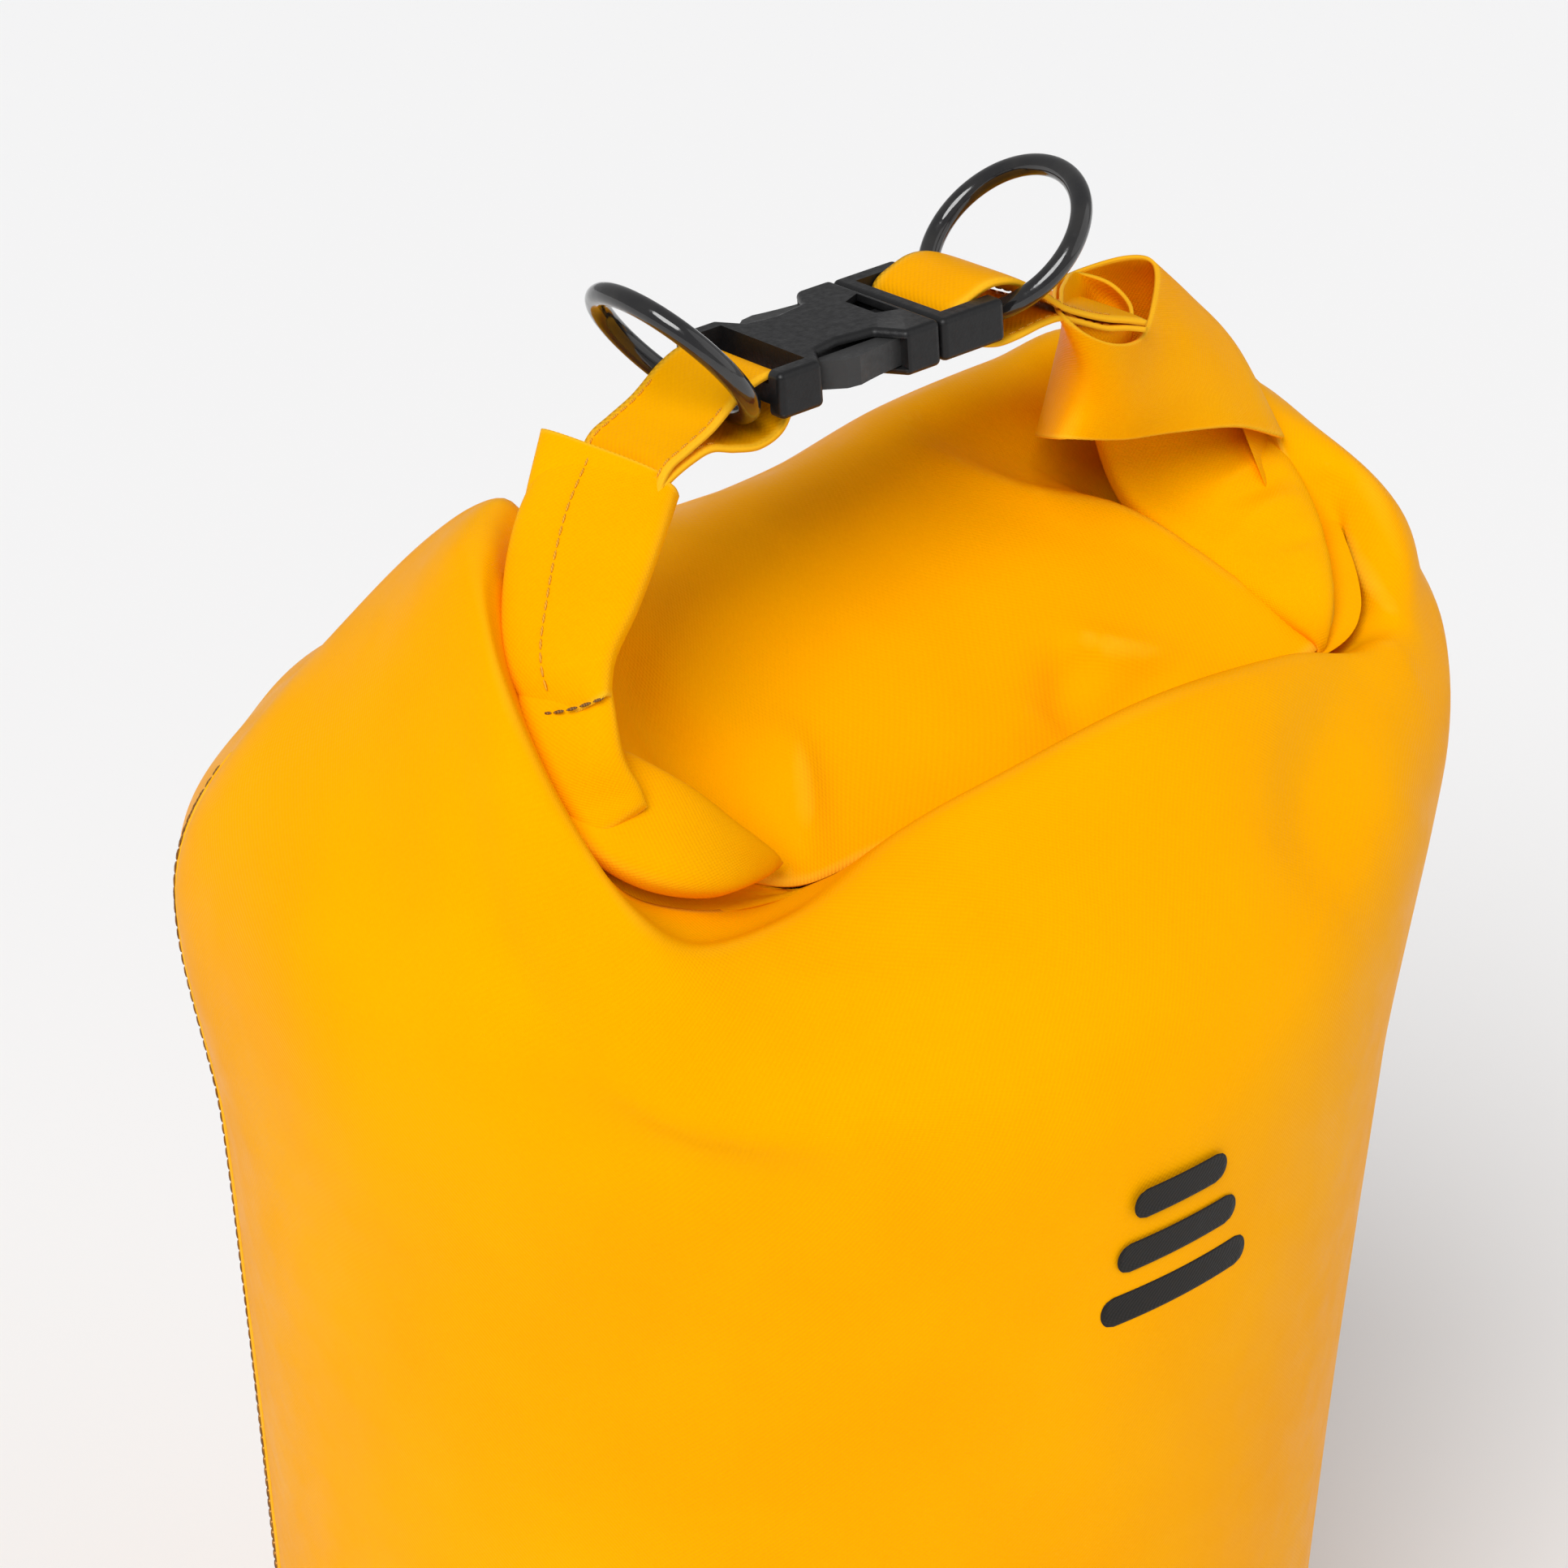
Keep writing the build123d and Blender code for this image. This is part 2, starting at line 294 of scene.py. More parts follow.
def twisted_thread(name, colour, dark):
    material, tree, shader = new_material(name, colour, 0.6)
    place = add(tree, "ShaderNodeTexCoord").outputs["Object"]
    twist = add(tree, "ShaderNodeTexWave", Scale=700.0, Distortion=1.5)
    tree.links.new(place, twist.inputs["Vector"])
    tree.links.new(tinted(tree, twist.outputs["Fac"], dark, colour), shader.inputs["Base Color"])
    tree.links.new(bump(tree, twist.outputs["Fac"], 0.00008, 0.8), shader.inputs["Normal"])
    rough = ranged(tree, noise(tree, place, 900.0), 0.5, 0.75)
    tree.links.new(rough, shader.inputs["Roughness"])
    return material


def flat_ink():
    """Screen-printed ink: nearly black, with the weave showing through and a faint mottle."""
    material, tree, shader = new_material("print_ink", (0.010, 0.009, 0.008), 0.6)
    place = add(tree, "ShaderNodeTexCoord").outputs["Object"]
    mottle = ranged(tree, noise(tree, place, 600.0, 4.0, 0.7), 0, 1, 0.35, 0.7)
    shade = tinted(tree, mottle, (0.008, 0.007, 0.006), (0.018, 0.015, 0.012))
    tree.links.new(shade, shader.inputs["Base Color"])
    tree.links.new(ranged(tree, mottle, 0.42, 0.6), shader.inputs["Roughness"])
    tree.links.new(bump(tree, weave_height(tree, 0.0011), 0.00005, 0.6), shader.inputs["Normal"])
    shader.inputs["Specular IOR Level"].default_value = 0.2
    return material


def pale_board():
    material, tree, shader = new_material("stiffener_board", (0.78, 0.77, 0.73), 0.5)
    place = add(tree, "ShaderNodeTexCoord").outputs["Object"]
    grain = noise(tree, place, 500.0, 4.0)
    tree.links.new(tinted(tree, grain, (0.74, 0.73, 0.69), (0.82, 0.81, 0.78)), shader.inputs["Base Color"])
    tree.links.new(bump(tree, grain, 0.00005, 0.5), shader.inputs["Normal"])
    tree.links.new(ranged(tree, grain, 0.42, 0.58), shader.inputs["Roughness"])
    return material


YELLOW, AMBER = (1.0, 0.43, 0.0), (0.97, 0.385, 0.0)
CLOTH = coated_cloth("coated_cloth", YELLOW, AMBER, 0.0011, 0.00005)
ROLL_CLOTH = coated_cloth("roll_cloth", (1.0, 0.45, 0.0), AMBER, 0.0010, 0.00006, 0.43)
WEBBING = coated_cloth("webbing", (1.0, 0.44, 0.0), (0.94, 0.38, 0.0), 0.0013, 0.00007, 0.46)
PLASTIC = moulded_plastic()
GLOSSY = glossy_plastic()
DARK_THREAD = twisted_thread("seam_thread", (0.30, 0.13, 0.01), (0.12, 0.045, 0.004))
PALE_THREAD = twisted_thread("strap_thread", (0.95, 0.45, 0.01), (0.62, 0.24, 0.0))
INK = flat_ink()
BOARD = pale_board()


# ---------------------------------------------------------------- body of the bag

# Stations round the bag, from the left end over the front to the right end and back behind.
# Each has the direction of its seam on the round body in degrees, and the points above the shoulder:
# the swelling, the lip or ridge, behind it, and where it enters the roll.
STATIONS = [
    (180, (-126, 14, 376), (-97, 8, 417), (-72, 1, 443), (-65, -3, 447), (-62, -7, 443)),
    (194, (-125, -26, 372), (-105, -17, 412), (-79, -14, 446), (-73, -14, 446), (-69, -16, 439)),
    (206, (-116, -50, 366), (-107, -37, 402), (-85, -31, 441), (-80, -26, 441), (-75, -22, 440)),
    (217, (-104, -70, 358), (-105, -57, 386), (-88, -46, 432), (-84, -40, 430), (-80, -36, 427)),
    (229, (-86, -88, 350), (-95, -76, 374), (-85, -62, 413), (-82, -56, 411), (-79, -50, 408)),
    (240, (-66, -100, 347), (-83, -90, 365), (-79, -77, 398), (-77, -70, 397), (-74, -62, 394)),
    (249, (-48, -107, 345), (-68, -98, 363), (-68, -81, 389), (-66, -74, 387), (-60, -64, 386)),
    (259, (-24, -112, 344), (-40, -101, 364), (-44, -76, 385), (-43, -68, 381), (-41, -58, 378)),
    (271, (6, -114, 344), (-4, -99, 370), (-14, -66, 388), (-14, -60, 384), (-12, -54, 376)),
    (286, (40, -110, 346), (26, -94, 374), (13, -66, 394), (13, -60, 390), (14, -54, 380)),
    (301, (72, -99, 350), (58, -86, 378), (46, -66, 399), (46, -60, 396), (46, -53, 384)),
    (318, (104, -80, 356), (96, -72, 378), (90, -57, 392), (89, -52, 390), (86, -47, 380)),
    (334, (133, -56, 356), (135, -50, 368), (127, -45, 381), (120, -41, 380), (114, -38, 377)),
    (348, (146, -28, 358), (150, -25, 380), (138, -20, 400), (129, -17, 396), (124, -16, 392)),
    (360, (149, 2, 362), (153, 2, 386), (138, 3, 406), (128, 3, 414), (121, 3, 420)),
    (370, (147, 20, 362), (149, 18, 388), (130, 12, 414), (122, 8, 420), (116, 5, 428)),
    (382, (136, 44, 362), (132, 36, 390), (114, 24, 424), (108, 14, 426), (110, 6, 434)),
    (398, (112, 72, 362), (108, 56, 402), (96, 28, 428), (104, 4, 394), (128, -4, 402)),
    (412, (88, 92, 362), (86, 66, 398), (76, 27, 426), (100, -4, 391), (122, -24, 392)),
    (426, (58, 104, 362), (56, 74, 390), (54, 26, 424), (85, -13, 400), (108, -43, 384)),
    (440, (24, 110, 362), (26, 78, 382), (33, 24, 419), (60, -12, 404), (84, -48, 381)),
    (456, (-12, 110, 362), (-8, 80, 378), (8, 22, 415.5), (22, -18, 400), (42, -52, 381)),
    (472, (-48, 100, 362), (-40, 76, 380), (-18, 18, 414), (-14, -20, 398), (-8, -54, 377)),
    (490, (-81, 84, 360), (-72, 66, 382), (-44, 13, 416), (-42, -22, 402), (-42, -56, 382)),
    (508, (-110, 58, 358), (-98, 44, 384), (-66, 12, 422), (-66, -14, 420), (-74, -38, 418)),
    (524, (-123.5, 30, 368), (-104, 26, 398), (-72, 12, 432), (-62, 2, 440), (-62, -10, 438)),
]


ROWS_BASE, ROWS_ABOVE = 40, 190


def body_ring(angle, z):
    """The body below the shoulder: round at the base, a little oval and leaning to the front right above."""
    rise = min(1.0, max(0.0, (z - 120) / 230)) ** 1.5
    a, b = 120.2 + 12.8 * rise, 120.2 - 6.6 * rise
    lean = (2 + 5.3 * rise) * min(1.0, max(0.0, (z - 30) / 90))
    t = math.radians(angle)
    return (a * math.cos(t) + 0.83 * lean, b * math.sin(t) - 0.53 * lean, z)


def body_rows():
    angles = np.array([s[0] for s in STATIONS], float)
    lines = []
    for angle, *upper in STATIONS:
        lower = [body_ring(angle, z) for z in (150, 200, 250, 300)]
        lines.append(smooth_path(lower + list(upper), ROWS_ABOVE))
    lines = np.array(lines)
    around = np.linspace(180, 540, 361)[:-1]
    rows = [ring_spline(angles, lines[:, k], around, 360) for k in range(lines.shape[1])]
    base = [[body_ring(t, z) for t in around] for z in np.linspace(0, 146, ROWS_BASE)]
    return np.concatenate([np.array(base), np.array(rows)])


def normals_of(grid, closed=True):
    """Outward normals of a grid whose columns run round the bag."""
    if closed:
        across = np.roll(grid, -1, axis=1) - np.roll(grid, 1, axis=1)
    else:
        across = np.gradient(grid, axis=1)
    up = np.gradient(grid, axis=0)
    normal = np.cross(across, up)
    return normal / (np.linalg.norm(normal, axis=2, keepdims=True) + 1e-9)


def crease(grid, path, depth, width, sharp=2.0):
    """Presses a fold into a grid along a line: depth goes inward, a negative depth raises a ridge."""
    flat = grid.reshape(-1, 3)
    snapped = [flat[np.argmin(np.linalg.norm(flat - np.array(point), axis=1))] for point in path]
    line = smooth_path(snapped, 40)
    ends = np.sin(np.linspace(0, math.pi, 40)) ** 0.9
    near = np.full(len(flat), 1e9)
    share = np.zeros(len(flat))
    for point, strength in zip(line, ends):
        distance = np.linalg.norm(flat - point, axis=1)
        closer = distance < near
        near[closer] = distance[closer]
        share[closer] = strength
    press = depth * share * np.exp(-(near / width) ** sharp)
    return grid - normals_of(grid) * press.reshape(grid.shape[:2])[:, :, None]


def relax(grid, low, passes=2):
    """Evens out the grid above one row, as cloth does, and leaves its rim."""
    out = grid.copy()
    for _ in range(passes):
        side = (np.roll(out, 1, axis=1) + np.roll(out, -1, axis=1)) / 2
        mixed = out.copy()
        mixed[1:-1] = out[1:-1] * 0.5 + side[1:-1] * 0.25 + (out[2:] + out[:-2]) * 0.125
        out[low:-1] = mixed[low:-1]
    return out


# Folds pressed into the cloth: the line each follows, how deep and how wide.
FOLDS = [
    # the broad hollow under the right ear
    (((118, -49, 382), (104, -60, 382), (88, -72, 381), (77, -81, 377), (70, -88, 368), (66, -93, 354)),
     4.6, 13.0),
    # the ear's own folds, running up beside the right end and back along the side
    (((131, -10, 404), (127, -20, 397), (124, -28, 390), (121, -38, 384)), 5.0, 4.5),
    (((133, -14, 400), (129, -24, 390), (127, -34, 384), (125, -44, 381)), -3.4, 3.4),
    (((130, -42, 377), (141, -26, 380), (147, -8, 384), (149, 8, 386)), 2.0, 6.0),
    # beside the lip on the left
    (((-92, -40, 424), (-98, -60, 392), (-90, -80, 366)), 1.5, 6.0),
    (((-86, -66, 405), (-80, -84, 380), (-60, -100, 362)), 1.0, 5.0),
    # the soft swelling below the lip's lowest point
    (((-56, -84, 382), (-40, -90, 376), (-16, -92, 374)), -0.8, 4.0),
    (((-30, -100, 366), (0, -104, 360), (24, -104, 362)), 0.9, 8.0),
    # the stitched pocket in the middle: a three-cornered hollow above the roll line
    (((52, -31, 395), (46, -38, 390), (38, -43, 386)), 3.6, 6.0),
    (((26, -47, 383), (42, -47, 385), (60, -45, 388), (72, -44, 388)), 3.4, 6.0),
    (((50, -27, 396), (60, -34, 393), (72, -41, 390)), -2.2, 4.0),
    # the hollow between the left end and the middle
    (((-44, -8, 412), (-42, -28, 398), (-36, -44, 388), (-32, -54, 382)), 5.5, 9.0),
    (((-14, -28, 400), (-22, -44, 388), (-28, -54, 381)), -2.6, 4.5),
    # the ridge from the back down to the right end's tip, and the hollow behind it
    (((40, 22, 422), (57, 2, 411), (82, -10, 400), (94, -26, 395), (100, -42, 388)), -3.2, 4.5),
    (((46, 24, 420), (64, 14, 412), (82, 6, 403), (95, -8, 393), (104, -26, 388)), 6.0, 8.0),
    # small waves along the side seam
    (((-118, 62, 352), (-116, 58, 330), (-114, 56, 308)), 1.4, 7.0),
    (((-112, 56, 268), (-110, 55, 246), (-108, 54, 226)), 1.0, 8.0),
]

skin = relax(body_rows(), ROWS_BASE + 35)
for fold_path, fold_depth, fold_width in FOLDS:
    skin = crease(skin, fold_path, fold_depth, fold_width)
skin_normals = normals_of(skin)

# The cloth that runs down inside the roll, between the lip and the middle.
rim = skin[-1]
front_rim = rim[:181]
back_rim = rim[(360 - np.arange(181)) % 360]
inside = []
for t in np.linspace(-0.12, 1.12, 16):
    sag = 3.5 * max(0.0, math.sin(math.pi * min(1.0, max(0.0, t)))) ** 0.5
    inside.append(front_rim * (1 - t) + back_rim * t - np.array((0, 0, sag + 0.4)))
roll_inside = grid_mesh("roll_inside", inside)
body = grid_mesh("fabric_body", skin, closed=True)
finish_cloth(body, None, CLOTH, FABRIC)
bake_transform(body)
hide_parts("side_panel", "collar_panel", "roll_centre")
finish_cloth(roll_inside, None, CLOTH)
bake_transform(roll_inside)


# ---------------------------------------------------------------- the roll's two ends

def flat_tube(stations, count=60, sides=44, square=3.0, droop=0.0):
    """A flattened tube of cloth. Each station is a left edge point, a right edge point and a thickness."""
    edges = smooth_path([list(left) + list(right) + [thick] for left, right, thick in stations], count)
    left, right, thick = edges[:, 0:3], edges[:, 3:6], edges[:, 6:7]
    middle, half = (left + right) / 2, (right - left) / 2
    along = np.gradient(middle, axis=0)
    face = np.cross(half, along)
    face /= np.linalg.norm(face, axis=1)[:, None]
    rows = []
    for k in range(sides):
        t = 2 * math.pi * k / sides
        c, s = math.cos(t), math.sin(t)
        c, s = math.copysign(abs(c) ** (2 / square), c), math.copysign(abs(s) ** (2 / square), s)
        foot = np.linspace(-5, 1, count).clip(0, 1)[:, None] ** 2 * droop * (1 - c * c)
        rows.append(middle + half * c + face * thick / 2 * s - foot * np.array((0, 0, 1.0)))
    return np.array(rows).transpose(1, 0, 2)


def loop_tube(levels, count=40, sides=72):
    """A tube of cloth through loops of points, from its rim down."""
    flat = smooth_path([[c for point in level for c in point] for level in levels], count)
    loops = flat.reshape(count, -1, 3)
    size = loops.shape[1]
    at = np.linspace(0, size, sides + 1)[:-1]
    return np.array([ring_spline(np.arange(size, dtype=float), loop, at, size) for loop in loops])


LEFT_END = [
    ((-55, -5, 456), (-42, -30, 454), 9),
    ((-68, -14, 448), (-48, -35, 449), 8),
    ((-78, -26, 438), (-58, -42, 440), 8),
    ((-82, -35, 430), (-66, -47, 434), 8),
    ((-81, -41, 424), (-69.5, -51, 429), 7),
]
LEFT_INNER = [
    ((-56, -3, 459), (-43, -28, 456.5), 6),
    ((-66, -13, 449), (-49, -34, 449), 5),
    ((-75, -25, 438), (-59, -41, 439), 5),
]
LEFT_END_LOWER = [
    ((-79, -34, 434), (-67, -46, 434), 4),
    ((-83, -41, 424), (-68.5, -51, 426), 6),
    ((-83, -47, 415), (-69, -55, 418), 7),
    ((-81, -53, 408.5), (-67, -57, 412), 6),
    ((-78.5, -57.5, 404.5), (-66.5, -58, 409), 5),
    ((-78, -58.5, 403.5), (-66.3, -58.5, 408), 1.5),
]
CREASE_END = [
    ((-68, -42, 415), (-84, -50, 410), 4),
    ((-62, -47, 411), (-80, -60, 403), 7),
    ((-54, -51, 404), (-71, -66, 396), 9),
    ((-46, -54, 395), (-57, -66, 389), 8),
    ((-38, -56, 387), (-44, -61, 385), 4),
    ((-36, -57, 384.5), (-38, -58, 384), 1),
]
# The right end is wrapped round the strap: front left, front, near corner, right, peak, back right, back
# and left, on its rim and three loops below it.
RIGHT_SLEEVE = [
    [(54, -17, 461), (64, -19, 453.5), (77, -14, 449), (87, -5, 452),
     (94, 5, 454.5), (88, 8, 456), (76, 12, 453), (63, -2, 458)],
    [(60, -16, 449), (67, -19, 446), (80, -14, 442), (95, -6, 443),
     (104, 4, 444), (98, 10, 447), (80, 12, 446), (67, 0, 450)],
    [(60, -15, 440), (69, -19, 436), (84, -15, 433), (103, -8, 431),
     (115, 2, 431), (109, 11, 433), (87, 14, 433), (68, 4, 437)],
    [(55, -16, 433), (69, -19, 430), (85, -16, 426), (106, -12, 420),
     (124, -5, 410), (119, 11, 413), (90, 17, 415), (67, 7, 421)],
]
RIGHT_INNER = [
    [(57, -14.5, 460), (66, -15.5, 455), (75, -12.5, 451.5), (81, -5, 452),
     (81, 3, 454), (75, 7, 456), (67, 0, 458.5), (61, -7, 460)],
    [(62, -14, 450), (68, -15, 447), (76, -11, 445), (83, -3, 446),
     (84, 4, 448), (79, 7, 449), (71, 2, 451), (65, -6, 451)],
    [(66, -12, 444), (71, -13, 442), (77, -9, 440), (82, -2, 440),
     (82, 4, 442), (78, 6, 443), (73, 3, 444), (68, -5, 444)],
]
RIGHT_FAN = [
    ((78, 5, 436), (104, 8, 431), 5),
    ((79, 4, 422), (116, 7, 416), 6),
    ((83, -2, 405), (125, -2, 405), 10),
    ((91, -17, 393), (122, -21, 396), 13),
    ((99, -35, 387), (113, -38, 389), 9),
    ((104, -44, 383), (107, -44, 383.5), 2),
    ((104, -44.5, 380), (105, -44.5, 380), 0.5),
]

left_end = grid_mesh("roll_left_end", flat_tube(LEFT_END, droop=3.0), closed=True, flip=True)
left_inner = grid_mesh("roll_left_inner", flat_tube(LEFT_INNER), closed=True, flip=True)
left_lower = grid_mesh("roll_left_lower", flat_tube(LEFT_END_LOWER), closed=True, flip=True)
crease_end = grid_mesh("roll_crease_end", flat_tube(CREASE_END), closed=True, flip=True)
right_end = grid_mesh("roll_right_end", loop_tube(RIGHT_SLEEVE), closed=True, flip=True)
right_inner = grid_mesh("roll_right_inner", loop_tube(RIGHT_INNER), closed=True, flip=True)

fan = flat_tube(RIGHT_FAN, count=120, sides=110)
for fold_path, fold_depth, fold_width in (
    (((86, -4, 424), (92, -10, 410), (99, -20, 400)), -1.8, 6.0),
    (((122, -6, 410), (112, -9, 409), (99, -12, 408)), 0.9, 2.6),
    (((121, -10, 405), (112, -12, 404), (102, -13, 404)), -0.9, 2.6),
    (((120, -16, 400), (113, -17, 400), (103, -19, 402)), 0.9, 2.6),
    (((117, -24, 395), (112, -26, 396), (104, -27, 398)), -0.8, 2.4),
):
    fan = crease(fan, fold_path, fold_depth, fold_width)
right_fan = grid_mesh("roll_right_lower", fan, closed=True, flip=True)

for piece in (left_end, left_inner, left_lower, crease_end):
    finish_cloth(piece, "bag", ROLL_CLOTH, FABRIC)
for piece in (right_end, right_inner, right_fan):
    finish_cloth(piece, "right_end", ROLL_CLOTH, FABRIC)
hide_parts("roll_left_arm")
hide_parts("roll_right_arm")


# ---------------------------------------------------------------- straps

BUCKLE_AT = np.array((18.1, -8.5, 465.3))
BUCKLE_YAW, BUCKLE_RISE, BUCKLE_ROLL = 7.0, -0.25, -6.2


def turn(axis, degrees):
    c, s = math.cos(math.radians(degrees)), math.sin(math.radians(degrees))
    return np.array({
        "x": ((1, 0, 0), (0, c, -s), (0, s, c)),
        "y": ((c, 0, s), (0, 1, 0), (-s, 0, c)),
        "z": ((c, -s, 0), (s, c, 0), (0, 0, 1)),
    }[axis])


BUCKLE_TURN = turn("z", BUCKLE_YAW) @ turn("y", -BUCKLE_RISE) @ turn("x", BUCKLE_ROLL)


def in_buckle(points):
    """Points of the buckle's own frame (x to the male half, z out of its top) in the bag's frame."""
    return BUCKLE_AT + np.asarray(points, float) @ BUCKLE_TURN.T


LEFT_STRAP = [
    (-69.5, -19), (-67.5, -13), (-64, -10.4), (-58, -8), (-53.5, -7.2), (-48, -8.9), (-42, -10),
    (-36.6, -8.2), (-33.8, -3.2), (-34.5, 1.5), (-37.8, 3.3), (-42, 2.9), (-46.5, 1), (-53, -3.2),
    (-59, -5.8), (-63.5, -7.8), (-66, -11), (-68, -18),
]
RIGHT_STRAP = [
    (58, -15.2), (53, -13.4), (47, -11.7), (40, -8.4), (35, -6.2), (30, -6), (23.5, -6.7),
    (18, -6.7), (12.5, -5), (8.2, -2.6), (7.2, 0), (8.4, 2.8), (12.5, 4.7), (17, 5.8), (22, 5.1), (28, 1.9),
    (33.5, -2.4), (36.5, -4.7), (41, -7.1), (47.5, -10), (53, -11.9), (58, -13.8),
]


def strap_band(path, count=150, columns=17):
    """A flat strap along a line of (x, z) places in the buckle's frame, its edges a little rolled."""
    line = smooth_path(path, count)
    slope = np.gradient(line, axis=0)
    slope /= np.linalg.norm(slope, axis=1)[:, None]
    out = np.stack([-slope[:, 1], slope[:, 0]], 1)
    rows = []
    for k in np.linspace(-1, 1, columns):
        side = line + out * 0.35 * (1 - abs(k) ** 6)
        rows.append(np.stack([side[:, 0], np.full(count, k * STRAP_WIDTH / 2), side[:, 1]], 1))
    return in_buckle(np.array(rows).transpose(1, 0, 2))


strap_left = grid_mesh("strap_left_band", strap_band(LEFT_STRAP))
strap_right = grid_mesh("strap_right_band", strap_band(RIGHT_STRAP))
finish_cloth(strap_left, "bag", WEBBING)
finish_cloth(strap_right, "right_end", WEBBING)
thicken(strap_left, STRAP_THICK, 0.0)
thicken(strap_right, STRAP_THICK, 0.0)
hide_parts("strap_left")
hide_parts("strap_right")


# ---------------------------------------------------------------- stitching, seam flap, print, stiffeners

def stitches(name, paths, pitch, length, width, material, body_name):
    """Rows of separate stitches along lines, each a small rounded bead lying on the cloth."""
    verts, faces = [], []
    sides, rings = 6, (-1.0, -0.7, 0.0, 0.7, 1.0)
    for points, normal in paths:
        points = np.asarray(points, float)
        run = np.concatenate([[0], np.cumsum(np.linalg.norm(np.diff(points, axis=0), axis=1))])
        up = np.asarray(normal, float)
        up = np.broadcast_to(up, points.shape)
        for centre in np.arange(pitch / 2, run[-1], pitch):
            at = np.array([np.interp(centre, run, points[:, k]) for k in range(3)])
            ahead = np.array([np.interp(centre + 0.5, run, points[:, k]) for k in range(3)])
            high = np.array([np.interp(centre, run, up[:, k]) for k in range(3)])
            along = ahead - at
            if np.linalg.norm(along) < 1e-6:
                continue
            along /= np.linalg.norm(along)
            side = np.cross(along, high)
            side /= np.linalg.norm(side)
            high = np.cross(side, along)
            base = len(verts)
            for r in rings:
                size = width / 2 * math.sqrt(max(0.05, 1 - r * r))
                for k in range(sides):
                    t = 2 * math.pi * k / sides
                    round_off = side * math.cos(t) + high * 0.8 * math.sin(t)
                    spot = at + along * r * length / 2 + round_off * size
                    verts.append(tuple(spot * MM))
            for i in range(len(rings) - 1):
                for k in range(sides):
                    a, b = base + i * sides + k, base + i * sides + (k + 1) % sides
                    faces.append((a, b, b + sides, a + sides))
            faces.append(tuple(base + k for k in reversed(range(sides))))
            faces.append(tuple(base + (len(rings) - 1) * sides + k for k in range(sides)))
    mesh = bpy.data.meshes.new(name)
    mesh.from_pydata(verts, [], faces)
    mesh.update()
    for face in mesh.polygons:
        face.use_smooth = True
    mesh.materials.append(material)
    piece = bpy.data.objects.new(name, mesh)
    bpy.context.scene.collection.objects.link(piece)
    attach(piece, body_name)
    return piece


def skin_column(column, lift, low, high):
    """A line up the skin at a fractional column, lifted off it, and its normals."""
    j = int(column) % 360
    part = column - int(column)
    k = (j + 1) % 360
    line = skin[low:high, j] * (1 - part) + skin[low:high, k] * part
    normal = skin_normals[low:high, j]
    return line + normal * lift, normal


FLAP_LOW, FLAP_HIGH = 2, ROWS_BASE + int(0.71 * ROWS_ABOVE)
FLAP_MIDDLE = 340.0
flap_columns = []
for step in np.linspace(-1, 1, 9):
    edge_lift = 0.5 if abs(step) < 0.99 else 0.1
    line, normal = skin_column(FLAP_MIDDLE + step * 4.0, edge_lift, FLAP_LOW, FLAP_HIGH)
    wander = np.sin(np.arange(len(line)) * 0.55) * 0.35 + np.sin(np.arange(len(line)) * 0.21) * 0.5
    side = np.cross(normal, (0, 0, 1.0))
    flap_columns.append(line + side * (wander * abs(step))[:, None])
flap = grid_mesh("side_seam_lap", np.array(flap_columns).transpose(1, 0, 2))
finish_cloth(flap, "bag", CLOTH, LAP_CLOTH)
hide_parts("side_seam_flap")

seam_rows = [skin_column(FLAP_MIDDLE + offset, 0.6, FLAP_LOW + 1, FLAP_HIGH - 1) for offset in (-2.8, 2.8)]
seam_thread = stitches("side_seam_stitches", seam_rows, 3.2, 2.7, 0.75, DARK_THREAD, "bag")
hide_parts("side_seam_thread")


def on_left_end(across, low, high, lift=0.3, count=40):
    """A line along the front of the left end, between two shares of its length."""
    edges = smooth_path([list(left) + list(right) + [thick] for left, right, thick in LEFT_END], 200)
    part = edges[int(low * 199):int(high * 199) + 1]
    left, right, thick = part[:, 0:3], part[:, 3:6], part[:, 6:7]
    half = (right - left) / 2
    along = np.gradient((left + right) / 2, axis=0)
    face = np.cross(along, half)
    face /= np.linalg.norm(face, axis=1)[:, None]
    reach = (1 - abs(across) ** 3) ** (1 / 3)
    return (left + right) / 2 + half * across + face * (thick / 2 * reach + lift), face


long_row = on_left_end(-0.28, 0.03, 0.93, 0.15)
foot_left, foot_right = np.array(LEFT_END[-1][0]), np.array(LEFT_END[-1][1])
foot_face = long_row[1][-1]
foot_shares = np.linspace(0.05, 0.98, 20)[:, None]
foot_bow = 4 * foot_shares * (1 - foot_shares)
foot_line = foot_left * (1 - foot_shares) + foot_right * foot_shares
foot_line = foot_line + foot_face * (1.2 + 3.2 * foot_bow) - foot_bow * np.array((0, 0, 1.8))
stitches("left_end_stitches", [long_row], 2.6, 2.1, 0.5, PALE_THREAD, "bag")
stitches("left_foot_stitches", [(foot_line, foot_face)], 2.6, 2.2, 0.7, DARK_THREAD, "bag")


def strap_edge_stitches(name, path, share, body_name):
    band = strap_band(path)
    low, high = int(share[0] * len(band)), int(share[1] * len(band))
    faces = normals_of(band, closed=False)
    rows = []
    for column in (1, -2):
        line = band[low:high, column]
        up = faces[low:high, column]
        rows.append((line - up * (STRAP_THICK / 2 + 0.1), -up))
        rows.append((line + up * (STRAP_THICK / 2 + 0.1), up))
    stitches(name, rows, 2.4, 1.9, 0.55, PALE_THREAD, body_name)


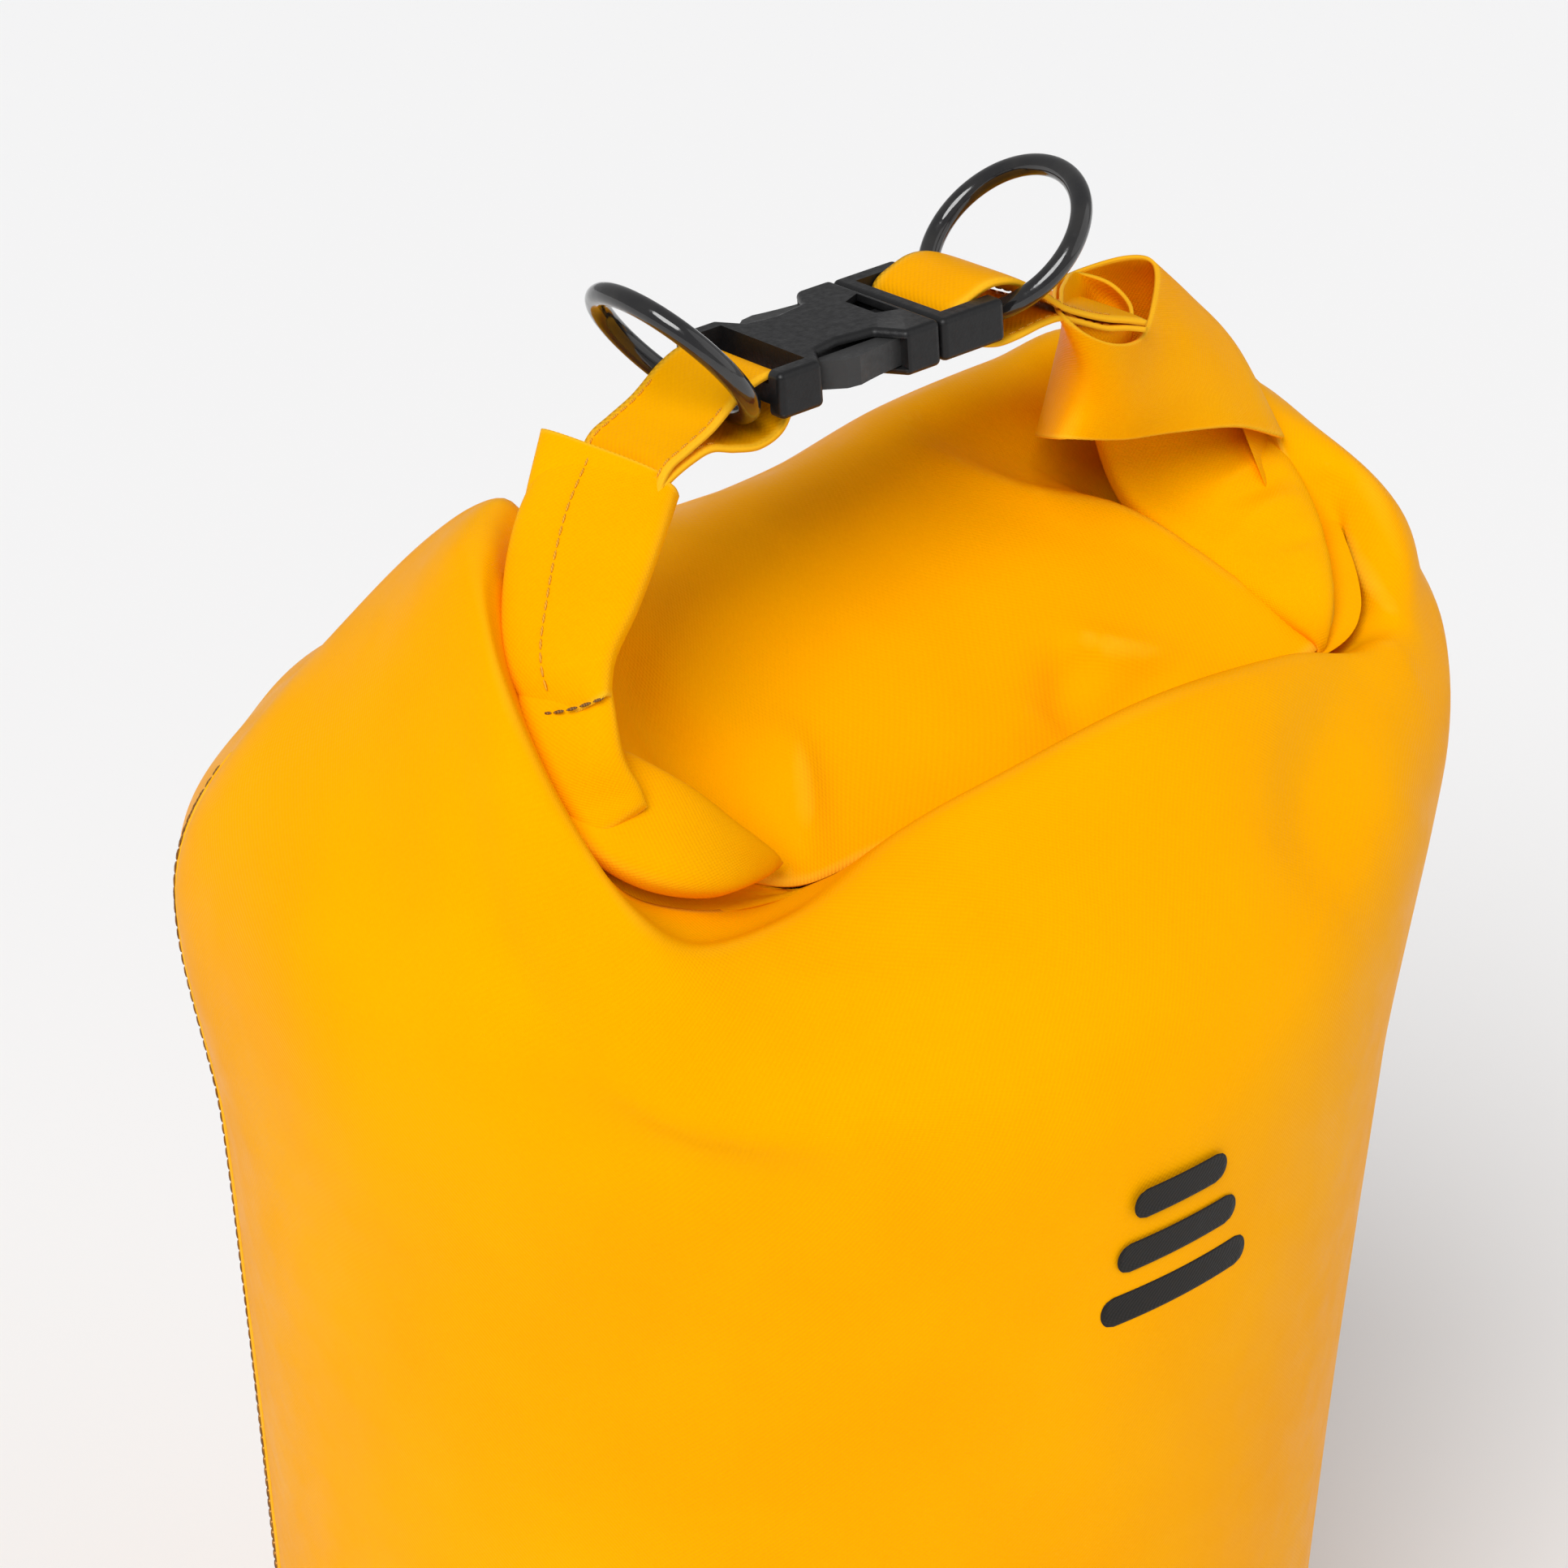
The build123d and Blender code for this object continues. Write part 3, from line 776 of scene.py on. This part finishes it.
strap_edge_stitches("strap_left_stitches", LEFT_STRAP, (0.08, 0.27), "bag")
strap_edge_stitches("strap_left_stitches_top", LEFT_STRAP, (0.70, 0.92), "bag")
strap_edge_stitches("strap_right_stitches", RIGHT_STRAP, (0.08, 0.33), "right_end")
strap_edge_stitches("strap_right_stitches_top", RIGHT_STRAP, (0.70, 0.93), "right_end")


def front_point(x, z, lift):
    """The place on the front of the body at a given x and height, lifted off it."""
    places = []
    for j in range(25, 155):
        line = skin[:ROWS_BASE + int(0.545 * ROWS_ABOVE), j]
        places.append([np.interp(z, line[:, 2], line[:, k]) for k in range(2)])
    places = np.array(places)
    y = np.interp(x, places[:, 0], places[:, 1])
    out = np.array((x * 0.9, y, 0.0))
    out /= np.linalg.norm(out)
    return np.array((x, y, z)) + out * lift


# A plain print of three bars, each shorter than the one below it, with rounded ends.
MARK_X, MARK_Z, MARK_WIDTH, MARK_BAR, MARK_PITCH = 18.0, 312.0, 38.0, 7.0, 12.0
MARK_STEP, MARK_CORNER, MARK_LIFT = 7, 3, 0.12
for row in range(3):
    width, middle = MARK_WIDTH - row * MARK_STEP, MARK_Z + (row - 1) * MARK_PITCH
    grid = []
    for v in np.linspace(-1, 1, 13):
        half = width / 2 - MARK_CORNER + MARK_CORNER * math.sqrt(1 - v * v)
        z = middle + v * MARK_BAR / 2
        grid.append([front_point(MARK_X + half * u, z, MARK_LIFT) for u in np.linspace(-1, 1, 25)])
    bar = grid_mesh(f"printed_bar_{row}", grid)
    finish_cloth(bar, "bag", INK, INK_FILM)
    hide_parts("printed_mark")

ROLL_LINE = [(-50, -52, 378), (-12, -50, 374), (14, -50, 378), (46, -49, 381), (90, -42, 378)]
for name, drop in (("mouth_stiffener_front", 9.0), ("mouth_stiffener_back", 10.4)):
    line = smooth_path(ROLL_LINE, 60)
    strip = [line + np.array((0, t * 17, t * 6 - drop)) for t in np.linspace(0, 1, 6)]
    piece = grid_mesh(f"{name}_strip", np.array(strip).transpose(1, 0, 2))
    finish_cloth(piece, "bag", BOARD, BOARD_THICK)
    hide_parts(name)


# ---------------------------------------------------------------- hardware and base keep their CAD shapes

def repaint(material, *nodes):
    for node in nodes:
        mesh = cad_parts[node].data
        if not mesh.materials:
            mesh.materials.append(material)
        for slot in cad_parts[node].material_slots:
            slot.material = material


repaint(PLASTIC, "buckle_female", "buckle_male", "prong_far", "prong_near")
repaint(GLOSSY, "ring_left", "ring_right")
repaint(CLOTH, "base_panel", "base_seam_tape")


# ---------------------------------------------------------------- camera, light, stage

def look_from(name, place, target, lens):
    data = bpy.data.cameras.new(name)
    data.lens = lens
    data.sensor_width = 36
    data.clip_end = 50
    camera = bpy.data.objects.new(name, data)
    camera.location = place
    camera.rotation_euler = (Vector(target) - Vector(place)).to_track_quat("-Z", "Y").to_euler()
    bpy.context.scene.collection.objects.link(camera)
    return camera


def soft_sun(name, from_side, width, strength):
    """An even soft light from one side, as wide as a large studio panel."""
    data = bpy.data.lights.new(name, "SUN")
    data.angle = math.radians(width)
    data.energy = strength
    lamp = bpy.data.objects.new(name, data)
    lamp.rotation_euler = Vector(from_side).to_track_quat("Z", "Y").to_euler()
    bpy.context.scene.collection.objects.link(lamp)


def stage():
    """A pale floor, pale surroundings and large soft lamps."""
    mesh = bpy.data.meshes.new("floor")
    mesh.from_pydata([(-6, -6, 0), (6, -6, 0), (6, 6, 0), (-6, 6, 0)], [], [(0, 1, 2, 3)])
    floor = bpy.data.objects.new("floor", mesh)
    bpy.context.scene.collection.objects.link(floor)
    paint = bpy.data.materials.new("floor")
    paint.use_nodes = True
    paint.node_tree.nodes["Principled BSDF"].inputs["Base Color"].default_value = (0.9, 0.9, 0.9, 1)
    paint.node_tree.nodes["Principled BSDF"].inputs["Roughness"].default_value = 0.9
    mesh.materials.append(paint)
    world = bpy.data.worlds.new("studio")
    world.use_nodes = True
    world.node_tree.nodes["Background"].inputs["Color"].default_value = (0.93, 0.93, 0.94, 1)
    world.node_tree.nodes["Background"].inputs["Strength"].default_value = 0.42
    bpy.context.scene.world = world
    soft_sun("key", (-1.0, -0.75, 1.45), 34, 2.32)
    soft_sun("fill", (1.3, -1.0, 0.9), 60, 0.42)
    bpy.context.scene.view_settings.view_transform = "Standard"


stage()
bpy.context.scene.camera = look_from("view", (-0.3814, -0.6103, 0.8097), (0, 0, 0.360), 93.17)
